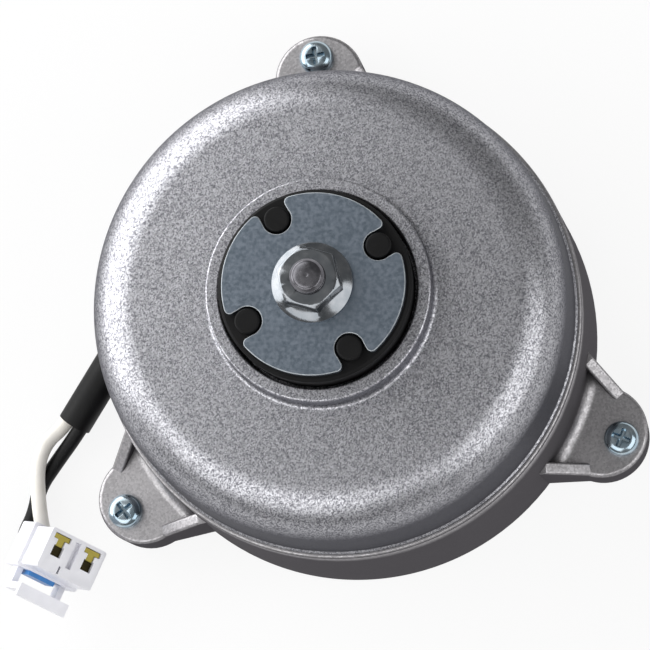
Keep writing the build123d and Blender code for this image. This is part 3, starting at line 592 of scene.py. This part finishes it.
# Pieces that keep the model's form: their edges in millimetres, and what else is done to them
copies = {
    "rearHousing": {
        "node": "rear_housing",
        "body": "stator",
        "slot": "cast_aluminium",
        "end": rearRim,
    },
    "clampPlate": {
        "node": "clamp_plate",
        "body": "rotor",
        "slot": "plate_zinc",
        "edge": 0.17,
        "flatten": 0.8,
        "edgeFinish": "paleEdge",
    },
    "flangeNut": {"node": "flange_nut", "body": "rotor", "slot": "plate_zinc", "edge": 0.05},
    "drivePad": {"node": "drive_pad", "body": "rotor", "slot": "black_rubber"},
    "shaftBody": {"node": "shaft", "body": "rotor", "slot": "shaft_steel", "end": shaftEnd},
    "earScrews": {"node": "ear_screws", "body": "stator", "slot": "zinc_steel", "edge": 0.12},
    "leadSleeve": {"node": "lead_sleeve", "body": "stator", "slot": "black_vinyl", "edge": 0.1},
    "plugHousing": {"node": "plug_housing", "body": "stator", "slot": "white_nylon", "edge": 0.25},
    "plugTerminals": {"node": "plug_terminals", "body": "stator", "slot": "brass", "edge": 0.1},
    "plugRetainer": {"node": "plug_retainer", "body": "stator", "slot": "blue_nylon", "edge": 0.2},
}
mergeAngle = 0.02  # degrees: flat faces are made one before their edges are rounded
for name, job in copies.items():
    piece = finishedCopy(
        name,
        job["node"],
        edge=job.get("edge", 0) * mm,
        flatten=job.get("flatten", mergeAngle) if "edge" in job else 0,
        edgeFinish=job.get("edgeFinish"),
    )
    if "end" in job:
        regrow(piece, job["end"])
    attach(piece, job["body"])
print("pieces copied and finished")

# Plug details in the plug's own frame: millimetres across, up and along it
plugFrame = {
    "rear": (-60.0, -40.7, 8.0),
    "along": (0.5415, -0.1278, 0.8313),
    "across": (0.7466, -0.3814, -0.5449),
    "grooveFloor": ((0, 0.6), (1.1, 5.2), (10.0, 14.7)),  # middle, size, span along
    "keySlot": ((-1.5, -2.95), (0.4, 1.5), (14.4, 16.2)),
    "contacts": [
        ((-3.25, -0.06), (2.1, 2.1), (5.0, 14.9)),
        ((3.25, -0.06), (2.1, 2.1), (5.0, 14.9)),
    ],
    "retainerCuts": [((0, -5.25), (0, -1)), ((2.0, 0), (1, 0))],  # place, outward direction
}


def plugTurn():
    # From the plug's own frame to the motor's
    along = Vector(plugFrame["along"]).normalized()
    across = Vector(plugFrame["across"])
    across = (across - across.project(along)).normalized()
    return Matrix((across, along.cross(across), along)).transposed()


def plugBox(name, middle, size, span):
    turn = plugTurn()
    offset = turn @ Vector((*middle, sum(span) / 2)) * mm
    bpy.ops.mesh.primitive_cube_add(
        size=mm,
        location=Vector(plugFrame["rear"]) * mm + offset,
        rotation=turn.to_euler(),
        scale=(*size, span[1] - span[0]),
    )
    box = bpy.context.object
    box.name = name
    return box


def trimmed(piece, cuts):
    # The piece keeps what lies behind each cut
    selectOnly(piece)
    bpy.ops.object.mode_set(mode="EDIT")
    for place, outward in cuts:
        bpy.ops.mesh.select_all(action="SELECT")
        bpy.ops.mesh.bisect(
            plane_co=Vector(plugFrame["rear"]) * mm + plugTurn() @ Vector((*place, 0)) * mm,
            plane_no=plugTurn() @ Vector((*outward, 0)),
            use_fill=True,
            clear_outer=True,
        )
    bpy.ops.object.mode_set(mode="OBJECT")


plugHousing = bpy.data.objects["plugHousing"]
slotTool = plugBox("keySlot", *plugFrame["keySlot"])
selectOnly(plugHousing)
cut = plugHousing.modifiers.new("keySlot", "BOOLEAN")
cut.operation = "DIFFERENCE"
cut.object = slotTool
bpy.ops.object.modifier_apply(modifier="keySlot")
bpy.data.objects.remove(slotTool)
grooveFloor = plugBox("grooveFloor", *plugFrame["grooveFloor"])
grooveFloor.data.materials.append(finishes["whiteNylon"])
joined(plugHousing, [grooveFloor])
# Boxes in the contact holes, their nearly black colour painted shade
contacts = [plugBox("contact", *place) for place in plugFrame["contacts"]]
for contact in contacts:
    contact.data.materials.append(finishes["paintedShadeBrass"])
joined(bpy.data.objects["plugTerminals"], contacts)
retainer = bpy.data.objects["plugRetainer"]
trimmed(retainer, plugFrame["retainerCuts"])
smoothed(retainer)
print("plug detailed")

# Floor and lights: a white table in a soft studio
studio = {"floorSize": 30.0, "floorDrop": 0.2 * mm, "world": 0.2, "whiteShare": 0.88}
deselectAll()
bpy.ops.mesh.primitive_plane_add(size=studio["floorSize"], location=(0, 0, -studio["floorDrop"]))
floor = bpy.context.object
floor.name = "whiteTable"
floorMaterial, floorShader = startMaterial("whiteTable", Roughness=0.9)
floorShader.inputs["Base Color"].default_value = linear("#f4f4f4")
# Seen straight or in a reflection the table is mostly plain white, and it keeps the shadow
rays = addNode(floorMaterial, "LightPath").outputs
seen = rays["Is Camera Ray"]
for ray in ("Is Glossy Ray", "Is Transmission Ray"):
    seen = addNode(floorMaterial, "Math", {0: seen, 1: rays[ray]}, operation="MAXIMUM").outputs[0]
share = addNode(floorMaterial, "Math", {0: seen, 1: studio["whiteShare"]}, operation="MULTIPLY")
glow = addNode(floorMaterial, "Emission", {"Strength": 1.0})
table = addNode(
    floorMaterial,
    "MixShader",
    {0: share.outputs[0], 1: floorShader.outputs[0], 2: glow.outputs[0]},
)
surface = floorMaterial.node_tree.nodes["Material Output"]
plug(floorMaterial, table.outputs[0], surface, "Surface")
floor.data.materials.append(floorMaterial)

world = bpy.data.worlds.new("studio")
world.use_nodes = True
bpy.context.scene.world = world
background = world.node_tree.nodes["Background"]
background.inputs["Color"].default_value = (1, 1, 1, 1)
background.inputs["Strength"].default_value = studio["world"]

# Directions in degrees round the motor and above the table, distances and sizes in metres
lights = {
    "leftSoftbox": {"az": 153, "up": 20, "away": 0.55, "size": (0.9, 0.42), "radiance": 2.7},
    "topLeftSoftbox": {"az": 150, "up": 47, "away": 0.42, "size": (0.5, 0.26), "radiance": 1.4},
    "rightSoftbox": {"az": 338, "up": 36, "away": 0.55, "size": (0.52, 0.46), "radiance": 1.6},
    "frontSoftbox": {"az": 240, "up": 50, "away": 0.6, "size": (0.6, 0.45), "radiance": 1.55},
    "overheadSoftbox": {"az": 225, "up": 77, "away": 0.7, "size": (0.6, 0.6), "radiance": 0.12},
}
lookAt = Vector((0, 0, 35 * mm))
for name, light in lights.items():
    around, up = math.radians(light["az"]), math.radians(light["up"])
    level = math.cos(up)
    heading = Vector((level * math.cos(around), level * math.sin(around), math.sin(up)))
    bpy.ops.object.light_add(type="AREA", location=lookAt + light["away"] * heading)
    lamp = bpy.context.object
    lamp.name = name
    lamp.data.shape = "RECTANGLE"
    lamp.data.size, lamp.data.size_y = light["size"]
    lamp.data.energy = math.pi * light["size"][0] * light["size"][1] * light["radiance"]
    lamp.rotation_euler = (-heading).to_track_quat("-Z", "Y").to_euler()
print("studio lit")
